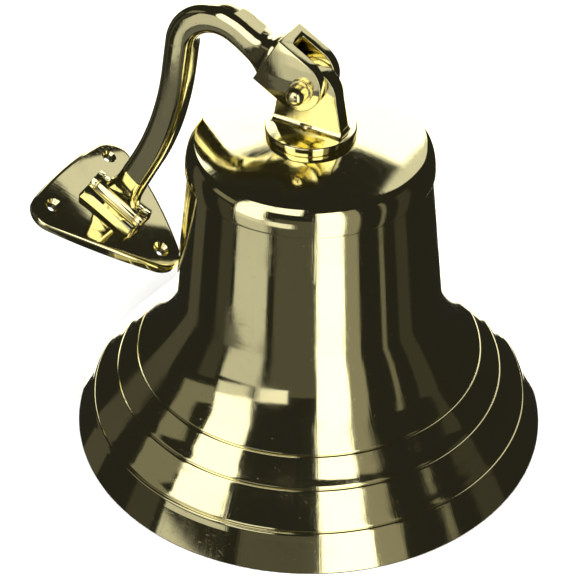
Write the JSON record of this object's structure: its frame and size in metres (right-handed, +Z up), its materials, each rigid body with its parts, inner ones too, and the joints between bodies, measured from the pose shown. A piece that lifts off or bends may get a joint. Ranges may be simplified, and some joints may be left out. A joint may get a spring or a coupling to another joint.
{
  "type": "ship bell",
  "caption": "Flared hand-rung bell with a clapper, hung by a crown tongue and cross pin from a folding swan-neck arm that swivels on a domed wall plate.",
  "frame": {"origin": "centre of the bell's mouth, on the plane that the bell stands on", "axes": "+Z up the bell's axis; the bracket folds down on the -X side in the plane Y = 0; the cross pin is along Y"},
  "size_m": [0.284, 0.254, 0.2409],
  "materials": {
    "bell_brass": "mirror-polished cast and turned brass",
    "bracket_brass": "polished cast brass",
    "pin_brass": "polished turned brass",
    "clapper_bronze": "turned brass, lightly tarnished",
    "inner_brass": "machined brass, lightly tarnished"
  },
  "bodies": {
    "bell": {"bell_body": "bell_brass", "crown_hanger": "bracket_brass", "crown_washer": "inner_brass", "crown_nut": "inner_brass", "eye_bolt": "inner_brass"},
    "bracket": {"bracket_arm": "bracket_brass", "fork": "bracket_brass", "yoke_pin": "pin_brass", "yoke_washers": "pin_brass", "yoke_cap_nut": "pin_brass"},
    "plate": {"wall_plate": "bracket_brass", "hinge_pin": "pin_brass", "hinge_washers": "pin_brass"},
    "shackle": {"clapper_shackle": "inner_brass", "shackle_pin": "inner_brass"},
    "clapper": {"clapper_rod": "clapper_bronze", "clapper_ball": "clapper_bronze"}
  },
  "joints": [
    {"name": "yoke_pivot", "type": "hinge", "parent": "bell", "child": "bracket", "pos_m": [0, 0, 0.2115], "axis": [0, 1, 0], "range_deg": [0, 120]},
    {"name": "plate_hinge", "type": "hinge", "parent": "bracket", "child": "plate", "pos_m": [-0.11943, 0, 0.09905], "axis": [0.866, 0, -0.5], "range_deg": [-45, 45]},
    {"name": "shackle_swing", "type": "hinge", "parent": "bell", "child": "shackle", "pos_m": [0, 0, 0.15], "axis": [0, 1, 0], "range_deg": [-29, 29]},
    {"name": "clapper_swing", "type": "hinge", "parent": "shackle", "child": "clapper", "pos_m": [0, 0, 0.136], "axis": [1, 0, 0], "range_deg": [-9, 9]}
  ]
}
